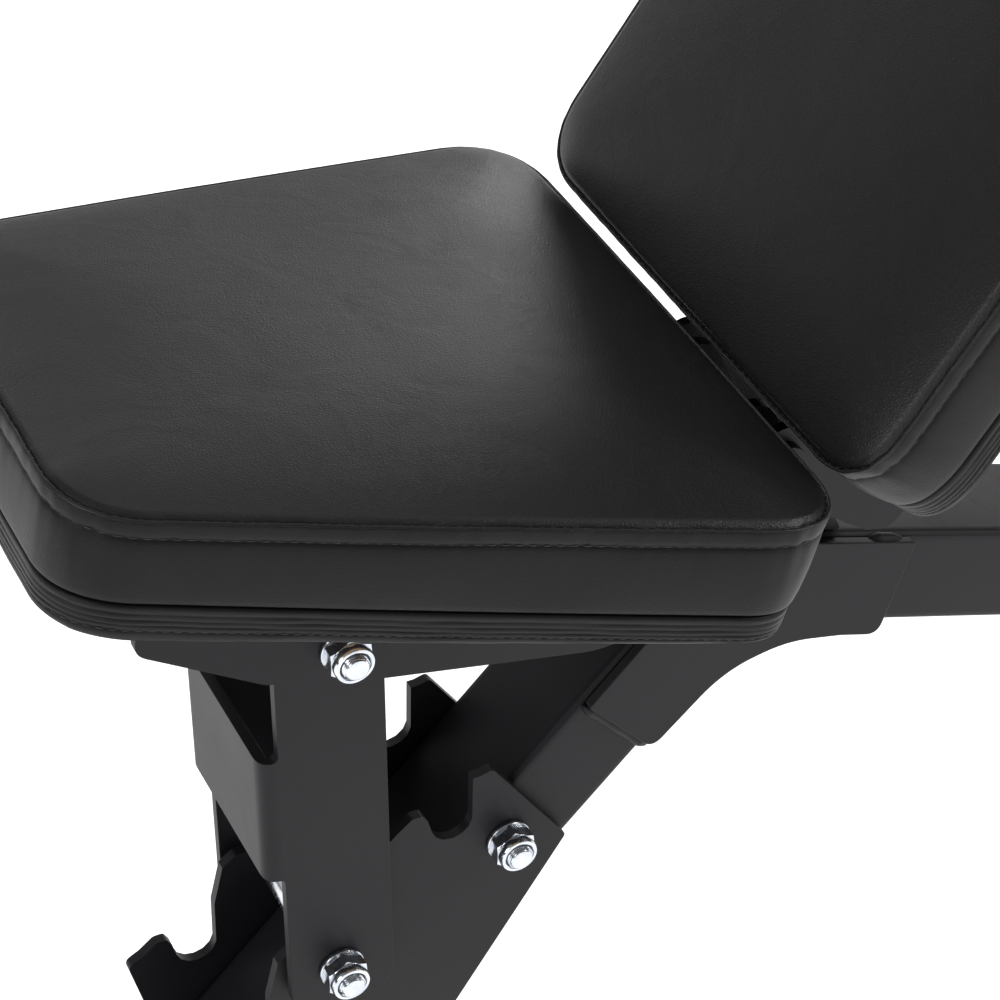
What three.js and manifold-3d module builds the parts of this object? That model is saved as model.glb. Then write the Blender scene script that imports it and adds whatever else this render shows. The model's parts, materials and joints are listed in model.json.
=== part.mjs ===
// Adjustable weight bench: welded tube spine with a front ladder that locks the seat leg,
// a hinged seat and back pad on one hinge bolt, and a support arm over an arched rear ladder.
// Millimetres, +Z up. Every outline is drawn in the side view (X to the rear, Z up) around the
// seat leg's pivot bolt; the last lines move the whole bench so that it stands on Z = 0.
import * as THREE from 'three';
import { mergeVertices } from 'three/addons/utils/BufferGeometryUtils.js';
import Module from 'manifold-3d';

const wasm = await Module();
wasm.setup();

// ---- driving dimensions ----
const legPivotHeight = 400;                 // seat leg's pivot bolt above the floor
const beamFall = 19.2;                      // main beam falls to the rear, degrees
const postFall = 45;                        // front post falls to the front, degrees
const seatTilt = 13;                        // seat's front-up tilt, degrees
const backLean = 53.35;                     // back pad above horizontal, degrees
const tubeWidth = 60;
const tubeHeight = 50;
const tubeWall = 3;
const fitGap = 0.3;                         // between touching pieces
const plateThick = 5;
const junction = [197, -52];                // where the post and beam centre lines meet
const hinge = [200, 20];                    // common hinge of the seat and the back
const ladderBolt = [81.5, -156.5];          // through both front ladder plates and the post
const boltRadius = 6;                       // M12
const clearHole = 6.25;
const framePlateY = tubeWidth / 2 + fitGap; // inner face of gussets and ladder plates
const legY = 39.6;                          // inner face of the seat leg's flanges
const backPlateY = 40;                      // inner face of the back pad's side plates
const seatPlateY = 45.4;                    // inner face of the seat bracket's side plates
const armY = 35.7;                          // inner face of the support arm's flanges
const armThick = 3.9;
const floorZ = -legPivotHeight;

const rad = (degrees) => degrees * Math.PI / 180;
const along = (fall) => [Math.cos(rad(fall)), -Math.sin(rad(fall))];
const beamDir = along(beamFall);
const beamUp = [-beamDir[1], beamDir[0]];
const postDir = [-Math.cos(rad(postFall)), -Math.sin(rad(postFall))];
const dot = (a, b) => a[0] * b[0] + a[1] * b[1];
const offset = (p, dir, length, up = [0, 0], rise = 0) => [
  p[0] + dir[0] * length + up[0] * rise,
  p[1] + dir[1] * length + up[1] * rise,
];

// ---- finishes ----
const finishes = {
  frame: { color: 0x3a393c, roughness: 0.5, metalness: 0.35 },
  vinyl: { color: 0x242425, roughness: 0.42, metalness: 0 },
  zinc: { color: 0xc9cacd, roughness: 0.28, metalness: 1 },
  rubber: { color: 0x161616, roughness: 0.85, metalness: 0 },
  plywood: { color: 0x8a6a46, roughness: 0.8, metalness: 0 },
};

const bench = new THREE.Group();
bench.name = 'adjustable_weight_bench';

function addMesh(name, geometry, finish, parent = bench) {
  const mesh = new THREE.Mesh(geometry, new THREE.MeshStandardMaterial(finishes[finish]));
  mesh.name = name;
  parent.add(mesh);
  return mesh;
}

function turnedGroup(point, fall) {
  const group = new THREE.Group();
  group.position.set(point[0], 0, point[1]);
  group.rotation.y = rad(fall);
  bench.add(group);
  return group;
}

// ---- solid helpers ----
function toManifold(geometry) {
  const bare = geometry.clone();
  bare.deleteAttribute('normal');
  bare.deleteAttribute('uv');
  const merged = mergeVertices(bare, 1e-4);
  return new wasm.Manifold(new wasm.Mesh({
    numProp: 3,
    vertProperties: new Float32Array(merged.attributes.position.array),
    triVerts: new Uint32Array(merged.index.array),
  }));
}

function toGeometry(solid) {
  const mesh = solid.getMesh();
  const geometry = new THREE.BufferGeometry();
  geometry.setAttribute('position', new THREE.BufferAttribute(mesh.vertProperties, 3));
  geometry.setIndex(new THREE.BufferAttribute(mesh.triVerts, 1));
  geometry.computeVertexNormals();
  return geometry;
}

const join = (...parts) => parts.map(toManifold).reduce((a, b) => a.add(b));

const holeSides = 16;

// A side-view outline with rounded corners: points are [x, z, corner radius].
function sideShape(points, holes = []) {
  const shape = new THREE.Shape();
  points.forEach((point, i) => {
    const here = new THREE.Vector2(point[0], point[1]);
    const before = points[(i + points.length - 1) % points.length];
    const after = points[(i + 1) % points.length];
    const toBefore = new THREE.Vector2(before[0], before[1]).sub(here);
    const toAfter = new THREE.Vector2(after[0], after[1]).sub(here);
    const radius = point[2] ?? 0;
    const halfAngle = Math.abs(toBefore.angleTo(toAfter)) / 2;
    const room = Math.min(toBefore.length(), toAfter.length()) * 0.49;
    const cut = radius > 0 ? Math.min(radius / Math.tan(halfAngle), room) : 0;
    const start = here.clone().addScaledVector(toBefore.normalize(), cut);
    const end = here.clone().addScaledVector(toAfter.normalize(), cut);
    if (i === 0) shape.moveTo(start.x, start.y);
    else shape.lineTo(start.x, start.y);
    if (cut > 0) shape.quadraticCurveTo(here.x, here.y, end.x, end.y);
  });
  shape.closePath();
  for (const [x, z, radius] of holes) {
    const rim = Array.from({ length: holeSides }, (_, i) => {
      const angle = -2 * Math.PI * i / holeSides;
      return new THREE.Vector2(x + radius * Math.cos(angle), z + radius * Math.sin(angle));
    });
    shape.holes.push(new THREE.Path(rim));
  }
  return shape;
}

// A flat plate cut to a side-view outline, lying between yLow and yLow + thick.
function sidePlate(points, yLow, thick, holes = [], curveSegments = 3) {
  const geometry = new THREE.ExtrudeGeometry(sideShape(points, holes), {
    depth: thick, bevelEnabled: false, curveSegments,
  });
  geometry.rotateX(Math.PI / 2);
  geometry.translate(0, yLow + thick, 0);
  return geometry;
}

const plateCurve = 6;                       // segments on each rounded plate corner
const sides = [['near', -1], ['far', 1]];
const lowSide = (side, inner, thick) => (side > 0 ? inner : -inner - thick);

function platePair(name, points, inner, thick, holes, curveSegments) {
  for (const [label, side] of sides) {
    const low = lowSide(side, inner, thick);
    const geometry = sidePlate(points, low, thick, holes, curveSegments);
    addMesh(`${name}_${label}`, geometry, 'frame');
  }
}

function rectangleShape(width, height, radius) {
  const w = width / 2;
  const h = height / 2;
  return sideShape([[-w, -h, radius], [w, -h, radius], [w, h, radius], [-w, h, radius]]);
}

// A hollow tube along local X from start to end; startCut and endCut shear its ends, so
// that the end plane leans by that many millimetres per millimetre of height.
function tube(width, height, wall, start, end, startCut = 0, endCut = 0) {
  const shape = rectangleShape(width, height, 5);
  shape.holes.push(rectangleShape(width - 2 * wall, height - 2 * wall, 3));
  const geometry = new THREE.ExtrudeGeometry(shape, {
    depth: end - start, bevelEnabled: false, curveSegments: 3,
  });
  geometry.rotateX(Math.PI / 2);
  geometry.rotateZ(Math.PI / 2);
  const position = geometry.attributes.position;
  const middle = (end - start) / 2;
  for (let i = 0; i < position.count; i++) {
    const x = position.getX(i);
    const z = position.getZ(i);
    const shear = x < middle ? startCut : endCut;
    position.setX(i, x + start + shear * z);
  }
  return geometry;
}

const barAlongY = (radius, yLow, yHigh, segments = 20) => {
  const bar = new THREE.CylinderGeometry(radius, radius, yHigh - yLow, segments);
  return bar.translate(0, (yLow + yHigh) / 2, 0);
};

// Cuts bolt holes straight across the bench at [x, z] points.
function drilled(geometry, points, radius = clearHole) {
  const cut = (solid, [x, z]) => solid.subtract(toManifold(
    barAlongY(radius, -300, 300).translate(x, 0, z),
  ));
  return toGeometry(points.reduce(cut, toManifold(geometry)));
}

// A ring or sleeve around the Y axis.
function ringAlongY(outer, inner, yLow, yHigh, segments = 20) {
  const profile = [[inner, yLow], [outer, yLow], [outer, yHigh], [inner, yHigh], [inner, yLow]];
  return new THREE.LatheGeometry(profile.map(([r, y]) => new THREE.Vector2(r, y)), segments);
}

const nutHeight = 13;
const boltProud = 2.5;

// A washer and nylon-insert lock nut: washer, hexagon and round collar, from yFace outwards.
function lockNut(name, point, yFace, side, parent = bench) {
  const washer = new THREE.CylinderGeometry(10.5, 10.5, 2, 20).translate(0, 1, 0);
  const hexagon = new THREE.CylinderGeometry(10.2, 10.2, 7, 6).translate(0, 5.4, 0);
  const collar = new THREE.CylinderGeometry(8.6, 9, 4.5, 20).translate(0, nutHeight - 2.25, 0);
  const hole = new THREE.CylinderGeometry(clearHole, clearHole, 40, 20);
  const solid = join(washer, hexagon, collar).subtract(toManifold(hole));
  const geometry = toGeometry(solid);
  if (side < 0) geometry.rotateX(Math.PI);
  geometry.translate(point[0], side * yFace, point[1]);
  addMesh(name, geometry, 'zinc', parent);
}

// A hexagon-head bolt across the bench: head on the far side, nut on the near side.
function crossBolt(name, point, yFace, parent = bench) {
  const shaft = barAlongY(boltRadius, -yFace - nutHeight - boltProud, yFace + 1);
  const washer = barAlongY(10.5, yFace, yFace + 2);
  const head = new THREE.CylinderGeometry(10.2, 10.2, 7.5, 6).translate(0, yFace + 5.5, 0);
  const geometry = toGeometry(join(shaft, washer, head));
  geometry.translate(point[0], 0, point[1]);
  addMesh(`${name}_bolt`, geometry, 'zinc', parent);
  lockNut(`${name}_nut`, point, yFace, -1, parent);
}

function screw(name, x, y, z, length, parent) {
  const shaft = new THREE.CylinderGeometry(3, 3, length, 12).translate(0, length / 2, 0);
  const head = new THREE.CylinderGeometry(6.5, 6.5, 3.5, 6).translate(0, -1.75, 0);
  const geometry = toGeometry(join(shaft, head));
  geometry.rotateX(Math.PI / 2);
  geometry.translate(x, y, z);
  addMesh(name, geometry, 'zinc', parent);
}

// ---- frame: beam, post, gussets ----
const frontFoot = { width: 60, height: 40, halfSpan: 103 };
const rearFoot = { width: 60, height: 60, halfSpan: 215 };
const footLift = 6;                         // foot tubes above the floor
const frontFootTop = floorZ + footLift + frontFoot.height;
const rearFootX = 1048;
const rearFootFace = rearFootX - rearFoot.width / 2;
const endPlateThick = 4;
const endPlateFront = rearFootFace - fitGap - endPlateThick;
const beamLength = (endPlateFront - fitGap - junction[0]) / beamDir[0];

const beamGroup = turnedGroup(junction, beamFall);
const beamEndCut = Math.tan(rad(beamFall));
const mitreHalf = Math.tan(rad((beamFall + postFall) / 2));
addMesh('main_beam', tube(
  tubeWidth, tubeHeight, tubeWall, fitGap, beamLength, -mitreHalf, -beamEndCut,
), 'frame', beamGroup);

// The end plate closes the beam against the rear foot's front face.
const endPlate = new THREE.ExtrudeGeometry(rectangleShape(tubeWidth, 58, 5), {
  depth: endPlateThick, bevelEnabled: false, curveSegments: 4,
});
endPlate.rotateX(Math.PI / 2).rotateZ(Math.PI / 2);
const endPlateZ = junction[1] - (endPlateFront - junction[0]) * Math.tan(rad(beamFall));
addMesh('beam_end_plate', endPlate.translate(endPlateFront, 0, endPlateZ), 'frame');

const postGroup = turnedGroup(junction, 180 - postFall);
const postLength = (junction[1] - frontFootTop - fitGap) / Math.sin(rad(postFall));
const postSide = [-postDir[1], postDir[0]];
const boltFromJunction = [ladderBolt[0] - junction[0], ladderBolt[1] - junction[1]];
const ladderBoltAt = [dot(boltFromJunction, postDir), dot(boltFromJunction, postSide)];
const postBody = tube(tubeWidth, tubeHeight, tubeWall, fitGap, postLength, mitreHalf, -1);
addMesh('front_post', drilled(postBody, [ladderBoltAt]), 'frame', postGroup);

const gussetReach = 286.5;
platePair('gusset', [
  [189.7, -25.3, 0],
  [gussetReach, -58.5, 2],
  [270, -107.5, 7],
  [250, -100.5, 30],
  [222, -93.5, 60],
  [190, -99, 60],
  [154, -131.5, 7],
  [121.5, -94.5, 2],
], framePlateY, plateThick, [], 10);

// ---- front ladder ----
const notchRadius = 10;
const notches = [[54.5, -135], [-5, -190], [-46.5, -229]];
function notchOutline([x, z]) {
  const bottom = [];
  for (let step = 0; step <= 6; step++) {
    const angle = rad(-10 - 160 * step / 6);
    bottom.push([x + notchRadius * Math.cos(angle), z + notchRadius * Math.sin(angle), 0]);
  }
  return [[x + 15.5, z + 43, 3], [x + 10.4, z + 22, 0], ...bottom,
    [x - 11.5, z + 5, 2], [x - 14, z + 9.5, 2], [x - 19, z + 9.5, 3], [x - 26, z + 4, 3]];
}
const [upperNotch, lockNotch, lowerNotch] = notches.map(notchOutline);
const ladderLower = 277.5;                  // x minus z along the plates' lower edge
platePair('seat_ladder', [
  [111, 111 - ladderLower, 3],
  [74.5, -111.5, 3],
  [68.5, -113, 3],
  ...upperNotch.slice(1),
  ...lockNotch,
  ...lowerNotch,
  [-80, -229, 4],
  [-69, -276, 8],
  [-ladderLower + 300, -300, 4],
], framePlateY, plateThick, [[...ladderBolt, clearHole]], plateCurve);
crossBolt('ladder', ladderBolt, framePlateY + plateThick + fitGap);

// ---- feet ----
const capLength = 22;
const capOverhang = 2;                      // cap beyond the tube at its front, rear and top
function crossFoot(name, x, { width, height, halfSpan }) {
  const middle = floorZ + footLift + height / 2;
  const body = tube(width, height, tubeWall, -halfSpan, halfSpan);
  body.rotateZ(Math.PI / 2).translate(x, 0, middle);
  addMesh(`${name}_foot`, body, 'frame');
  const capHeight = height + footLift + capOverhang;
  const capShape = rectangleShape(width + 2 * capOverhang, capHeight, 6);
  for (const [label, side] of sides) {
    const capBody = new THREE.ExtrudeGeometry(capShape, {
      depth: capLength, bevelEnabled: false, curveSegments: 4,
    });
    capBody.rotateX(Math.PI / 2).translate(0, capLength / 2, 0);
    const capY = side * (halfSpan + fitGap + capLength / 2);
    capBody.translate(x, capY, floorZ + capHeight / 2);
    addMesh(`${name}_foot_cap_${label}`, capBody, 'rubber');
  }
}
const frontFootX = junction[0] - (junction[1] - frontFootTop);
crossFoot('front', frontFootX, frontFoot);
crossFoot('rear', rearFootX, rearFoot);

// ---- lift handle at the front foot ----
const handleReach = 70;
const handleHalf = 90;
const handleBend = 30;
const handleRadius = 12.5;
const handleStart = frontFootX - frontFoot.width / 2 - fitGap;
const handleEnd = handleStart - handleReach;
const onHandle = (x, y) => new THREE.Vector3(x, y, frontFootTop - frontFoot.height / 2);
const handleCorners = [
  onHandle(handleEnd + handleBend, -handleHalf),
  onHandle(handleEnd, -handleHalf + handleBend),
  onHandle(handleEnd, handleHalf - handleBend),
  onHandle(handleEnd + handleBend, handleHalf),
];
const handlePath = new THREE.CurvePath();
const [bendIn, barStart, barEnd, bendOut] = handleCorners;
handlePath.add(new THREE.LineCurve3(onHandle(handleStart, -handleHalf), bendIn));
handlePath.add(new THREE.QuadraticBezierCurve3(
  bendIn, onHandle(handleEnd, -handleHalf), barStart,
));
handlePath.add(new THREE.LineCurve3(barStart, barEnd));
handlePath.add(new THREE.QuadraticBezierCurve3(
  barEnd, onHandle(handleEnd, handleHalf), bendOut,
));
handlePath.add(new THREE.LineCurve3(bendOut, onHandle(handleStart, handleHalf)));
const handleSection = new THREE.Shape();
handleSection.absarc(0, 0, handleRadius, 0, 2 * Math.PI, false);
addMesh('lift_handle', new THREE.ExtrudeGeometry(handleSection, {
  steps: 30, extrudePath: handlePath, curveSegments: 6, bevelEnabled: false,
}), 'frame');

// ---- transport wheels behind the rear foot ----
const wheelRadius = 42;
const wheelWidth = 26;
const wheelY = 150;
const forkLength = 56;
const rearFootBack = rearFootX + rearFoot.width / 2;
const wheelAxle = [rearFootBack + forkLength, floorZ + wheelRadius + footLift];
for (const [label, side] of sides) {
  const group = new THREE.Group();
  group.position.set(wheelAxle[0], side * wheelY, wheelAxle[1]);
  bench.add(group);
  const cheekGap = wheelWidth / 2 + 2;
  const forkStart = fitGap - forkLength;
  const cheekOutline = [
    [forkStart, -20, 2], [0, -16, 16], [16, 0, 16], [0, 16, 16], [forkStart, 20, 2],
  ];
  const cheekHoles = [[0, 0, 5.2]];
  const cheekInner = sidePlate(cheekOutline, -cheekGap - 4, 4, cheekHoles);
  const cheekOuter = sidePlate(cheekOutline, cheekGap, 4, cheekHoles);
  const back = new THREE.BoxGeometry(5, 2 * cheekGap + 8, 36).translate(forkStart + 2.8, 0, 0);
  addMesh(`wheel_fork_${label}`, toGeometry(join(cheekInner, cheekOuter, back)), 'frame', group);
  const profile = [
    [5.3, -13], [12, -13], [14, -8], [26, -8], [30, -12], [39, -12], [42, -8],
    [42, 8], [39, 12], [30, 12], [26, 8], [14, 8], [12, 13], [5.3, 13], [5.3, -13],
  ];
  addMesh(`wheel_${label}`, new THREE.LatheGeometry(
    profile.map(([r, y]) => new THREE.Vector2(r, y)), 24,
  ), 'rubber', group);
  const axleEnd = cheekGap + 4 + fitGap;
  const shaft = barAlongY(5, -axleEnd - 1, axleEnd + 1, 16);
  const capA = new THREE.CylinderGeometry(8.5, 8.5, 6, 6).translate(0, axleEnd + 3, 0);
  const capB = new THREE.CylinderGeometry(8.5, 8.5, 6, 6).translate(0, -axleEnd - 3, 0);
  addMesh(`wheel_axle_${label}`, toGeometry(join(shaft, capA, capB)), 'zinc', group);
}

// ---- hinge bracket on the beam ----
const hingePlateY = 22;
const hingePlateThick = 6;
const beamTop = offset(junction, beamDir, 0, beamUp, tubeHeight / 2 + fitGap);
const onBeamTop = (distance) => offset(beamTop, beamDir, distance);
const apex = onBeamTop(-(tubeHeight / 2 + fitGap) * mitreHalf);
const onPostTop = (distance) => offset(apex, postDir, distance);
platePair('hinge_plate', [
  [...onPostTop(26), 2],
  [...apex, 0],
  [...onBeamTop(48), 2],
  [hinge[0] + 21, hinge[1] - 6, 14],
  [hinge[0] + 8, hinge[1] + 22, 14],
  [hinge[0] - 14, hinge[1] + 20, 14],
  [hinge[0] - 20, hinge[1] - 6, 14],
], hingePlateY, hingePlateThick, [[...hinge, clearHole]]);
crossBolt('hinge', hinge, seatPlateY + plateThick + fitGap);
const hingeTube = ringAlongY(10, clearHole, -hingePlateY + fitGap, hingePlateY - fitGap);
addMesh('hinge_tube', hingeTube.translate(hinge[0], 0, hinge[1]), 'zinc');
for (const [label, side] of sides) {
  const low = hingePlateY + hingePlateThick + fitGap;
  const ring = ringAlongY(10, clearHole, low, backPlateY - fitGap);
  if (side < 0) ring.rotateX(Math.PI);
  addMesh(`hinge_spacer_${label}`, ring.translate(hinge[0], 0, hinge[1]), 'zinc');
}

// ---- padded parts ----
// A rounded trapezoid in plan, front half-width to rear half-width, inset by some amount. The
// end walls slant: frontFlare moves the underside's front edge out, rearLean its rear edge in.
function padPlan(plan, inset, height) {
  const { frontHalf, rearHalf, radius, base, face } = plan;
  const depth = (face - height) / (face - base);
  const front = plan.front + inset - (plan.frontFlare ?? 0) * depth;
  const rear = plan.rear - inset - (plan.rearLean ?? 0) * depth;
  const shape = sideShape([
    [front, -frontHalf + inset, radius],
    [rear, -rearHalf + inset, radius],
    [rear, rearHalf - inset, radius],
    [front, frontHalf - inset, radius],
  ]);
  return shape.getPoints(7).slice(0, -1);
}

// A closed pad built of stacked plan rings: levels are [height, inset].
function padSolid(plan, levels) {
  const rings = levels.map(([height, inset]) =>
    padPlan(plan, inset, height).map((p) => [p.x, p.y, height]));
  const count = rings[0].length;
  const vertices = rings.flat(2);
  const index = [];
  for (let level = 0; level + 1 < rings.length; level++) {
    for (let i = 0; i < count; i++) {
      const a = level * count + i;
      const b = level * count + (i + 1) % count;
      index.push(a, b, b + count, a, b + count, a + count);
    }
  }
  const top = (rings.length - 1) * count;
  for (let i = 1; i + 1 < count; i++) {
    index.push(0, i + 1, i, top, top + i, top + i + 1);
  }
  const geometry = new THREE.BufferGeometry();
  geometry.setAttribute('position', new THREE.Float32BufferAttribute(vertices, 3));
  geometry.setIndex(index);
  geometry.computeVertexNormals();
  return geometry;
}

// Cushion over an upholstered rim that hides the plywood board.
const rimHeight = 15;
const boardThick = 13;
function upholstery(name, plan, parent, edgeStart) {
  const { base, face } = plan;
  const boardInset = 9;
  const rimTop = base + rimHeight - fitGap;
  const cushion = padSolid(plan, [
    [base + rimHeight, 4], [base + rimHeight + 12, 1], [face - 6, 0], [face, 4], [face + 4, 26],
  ]);
  if (edgeStart === undefined) {
    addMesh(`${name}_cushion`, cushion, 'vinyl', parent);
  } else {
    // The rear edge of the foam gives way to the raised back pad, so it is a piece of its own.
    const whole = toManifold(cushion);
    const reach = plan.rear - edgeStart + 50;
    const behind = (start) => toManifold(
      new THREE.BoxGeometry(reach, 600, 300).translate(start + reach / 2, 0, 0),
    );
    addMesh(`${name}_cushion`, toGeometry(whole.subtract(behind(edgeStart))), 'vinyl', parent);
    const edge = whole.intersect(behind(edgeStart + fitGap));
    addMesh(`${name}_cushion_edge`, toGeometry(edge), 'vinyl', parent);
  }
  const outer = toManifold(padSolid(plan, [[base, 6], [base + 5, 3.5], [rimTop, 3.5]]));
  const hollow = toManifold(padSolid(plan, [[base - 5, boardInset - fitGap],
    [rimTop + 5, boardInset - fitGap]]));
  addMesh(`${name}_rim`, toGeometry(outer.subtract(hollow)), 'vinyl', parent);
  addMesh(`${name}_board`, padSolid(plan, [
    [base + fitGap, boardInset], [base + boardThick, boardInset],
  ]), 'plywood', parent);
}

// ---- seat ----
const seatGroup = turnedGroup([0, 0], seatTilt);
const seatUnderside = 57.5;
const seatFace = 114.5;
const seatPlan = {
  front: -151, rear: 153.5, frontHalf: 99, rearHalf: 157, radius: 28, rearLean: 5,
  base: seatUnderside, face: seatFace,
};
const seatEdgeStart = 118;                  // where the foam's rear edge piece begins
upholstery('seat', seatPlan, seatGroup, seatEdgeStart);

const toSeat = ([x, z]) => {
  const c = Math.cos(rad(seatTilt));
  const s = Math.sin(rad(seatTilt));
  return [x * c - z * s, x * s + z * c];
};
const hingeOnSeat = toSeat(hinge);
const webTop = seatUnderside - fitGap;
const lugRadius = 14;
const seatSideOutline = [
  [-92.5, webTop, 0],
  [-92.5, 8.6, 9],
  [-32, -14.5, 25],
  [0, -19, 25],
  [135, -19, 40],
  [hingeOnSeat[0] + 4, hingeOnSeat[1] - lugRadius - 2, 10],
  [hingeOnSeat[0] + lugRadius + 1, hingeOnSeat[1] - 10, 12],
  [hingeOnSeat[0] + lugRadius, hingeOnSeat[1] + 14, 14],
  [hingeOnSeat[0] - 12, hingeOnSeat[1] + lugRadius, 10],
  [150, webTop, 6],
];
const seatHoles = [[0, 0, clearHole], [...hingeOnSeat, clearHole]];
const seatBracket = join(
  ...sides.map(([, side]) => sidePlate(
    seatSideOutline, lowSide(side, seatPlateY, plateThick), plateThick, seatHoles, plateCurve,
  )),
  new THREE.BoxGeometry(228, 2 * (seatPlateY + 1), plateThick)
    .translate(17, 0, webTop - plateThick / 2),
);
const seatScrews = [[-70, 28], [110, 28]];
const screwDrill = (x, y, z) => toManifold(
  new THREE.CylinderGeometry(3.3, 3.3, 60, 12).rotateX(Math.PI / 2).translate(x, y, z),
);
let seatChannel = seatBracket;
for (const [x, y] of seatScrews) {
  for (const side of [-1, 1]) seatChannel = seatChannel.subtract(screwDrill(x, side * y, webTop));
}
addMesh('seat_bracket', toGeometry(seatChannel), 'frame', seatGroup);

// ---- seat leg: folded plate with two flanges and a front strap ----
const legFront = -28.5;
const legRear = 20.5;
const strapFace = -37;
const strapTop = -57;
const strapBottom = -126;
const legBottom = -213;
const legOutline = [
  [legRear, 22, 16], [legFront, 22, 16],
  [legFront, strapTop, 3], [strapFace, strapTop, 0],
  [strapFace, strapBottom, 0], [legFront, strapBottom, 3],
  [legFront, legBottom, 14], [legRear, legBottom, 14],
];
const legHoles = [[0, 0, clearHole], [...notches[1], clearHole]];
const legFlat = join(
  ...sides.map(([, side]) => sidePlate(
    legOutline, lowSide(side, legY, plateThick), plateThick, legHoles, plateCurve,
  )),
  new THREE.BoxGeometry(plateThick, 2 * (legY + 1), strapTop - strapBottom)
    .translate(strapFace + plateThick / 2, 0, (strapTop + strapBottom) / 2),
);
// The strap's two folds are rounded: the sharp corners are cut to a prism with round edges.
const foldRadius = 8;
const legOuter = legY + plateThick;
const foldPrism = new THREE.ExtrudeGeometry(
  rectangleShape(100, 2 * legOuter, foldRadius),
  { depth: 300, bevelEnabled: false, curveSegments: 6 },
).translate(strapFace + 50, 0, -250);
const legPlate = legFlat.intersect(toManifold(foldPrism));
addMesh('seat_leg', toGeometry(legPlate), 'frame');
crossBolt('leg_pivot', [0, 0], seatPlateY + plateThick + fitGap);
crossBolt('leg_pin', notches[1], legY + plateThick + fitGap);
const pinSleeveRadius = 9.5;
const pinSleeve = ringAlongY(pinSleeveRadius, clearHole, -legY + fitGap, legY - fitGap);
addMesh('leg_pin_sleeve', pinSleeve.translate(notches[1][0], 0, notches[1][1]), 'zinc');

// ---- back pad ----
const backGroup = turnedGroup(hinge, -backLean);
const backUnderside = -10.7;
const backFace = 48.9;
const backStart = 35.5;
const backLength = 760;
const backPlan = {
  front: backStart, rear: backStart + backLength, frontHalf: 139, rearHalf: 139, radius: 29,
  frontFlare: 10, base: backUnderside, face: backFace,
};
upholstery('back', backPlan, backGroup);

const armPivot = [240, -45];                // on the back, from the hinge
const backWebTop = backUnderside - fitGap;
const railEnd = 470;
const backSideOutline = [
  [-17, 0, 15], [-14, -17, 14], [-11, -35, 10],
  [-10.6, -73, 8], [-6, -84, 8], [10, -86, 10],
  [110, -60, 60], [armPivot[0], -64, 40], [railEnd, -34, 10], [railEnd, backWebTop, 0],
  [31, backWebTop, 4], [14, 14, 14],
];
const backHoles = [[0, 0, clearHole], [...armPivot, clearHole]];
const crossPlates = [[90, 70], [410, 90]];   // centre and length along the back
let backFrame = join(
  ...sides.map(([, side]) => sidePlate(
    backSideOutline, lowSide(side, backPlateY, plateThick), plateThick, backHoles, plateCurve,
  )),
  ...crossPlates.map(([centre, length]) => new THREE.BoxGeometry(
    length, 2 * (backPlateY + 1), plateThick,
  ).translate(centre, 0, backWebTop - plateThick / 2)),
);
const backScrews = [[90, 26], [410, 26]];
for (const [x, y] of backScrews) {
  for (const side of [-1, 1]) backFrame = backFrame.subtract(screwDrill(x, side * y, backWebTop));
}
addMesh('back_frame', toGeometry(backFrame), 'frame', backGroup);

// ---- support arm and arched rear ladder ----
const armLength = 350;
const armSteep = 56;                        // arm falls to the rear at rest, degrees
const armFollow = 0.5;                      // arm's turn per turn of the back, opposite way
const turn = ([x, z], degrees) => {
  const c = Math.cos(rad(degrees));
  const s = Math.sin(rad(degrees));
  return [x * c - z * s, x * s + z * c];
};
const armPivotAt = (swing) => {
  const spoke = turn(armPivot, backLean + swing);
  return [hinge[0] + spoke[0], hinge[1] + spoke[1]];
};
function footAt(swing) {
  const pivot = armPivotAt(swing);
  const reach = turn([armLength, 0], -armSteep - armFollow * swing);
  return [pivot[0] + reach[0], pivot[1] + reach[1]];
}

const armGroup = turnedGroup(armPivotAt(0), armSteep);
const armHalf = 20;
const armOutline = [
  [-armHalf, -armHalf, 18], [armLength + armHalf, -armHalf, 18],
  [armLength + armHalf, armHalf, 18], [190, armHalf, 6], [182, armHalf + 8, 3],
  [92, armHalf + 8, 3], [84, armHalf, 6], [-armHalf, armHalf, 18],
];
const armHoles = [[0, 0, clearHole], [armLength, 0, clearHole]];
addMesh('support_arm', toGeometry(join(
  ...sides.map(([, side]) => sidePlate(
    armOutline, lowSide(side, armY, armThick), armThick, armHoles,
  )),
  new THREE.BoxGeometry(84, 2 * (armY + 1), 4).translate(137, 0, armHalf + 5.99),
)), 'frame', armGroup);
const armPinFace = armY + armThick + fitGap;
crossBolt('arm_pivot', armPivot, backPlateY + plateThick + fitGap, backGroup);
const armPinShaft = barAlongY(boltRadius, -armPinFace - 1, armPinFace + 1);
const armPinHeads = [-1, 1].map((side) => barAlongY(
  10.5, side > 0 ? armPinFace : -armPinFace - 5, side > 0 ? armPinFace + 5 : -armPinFace,
));
addMesh('arm_foot_pin', toGeometry(join(armPinShaft, ...armPinHeads))
  .translate(armLength, 0, 0), 'zinc', armGroup);
const footRoller = 9;
addMesh('arm_foot_sleeve', ringAlongY(footRoller, clearHole, -armY + fitGap, armY - fitGap)
  .translate(armLength, 0, 0), 'zinc', armGroup);

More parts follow.
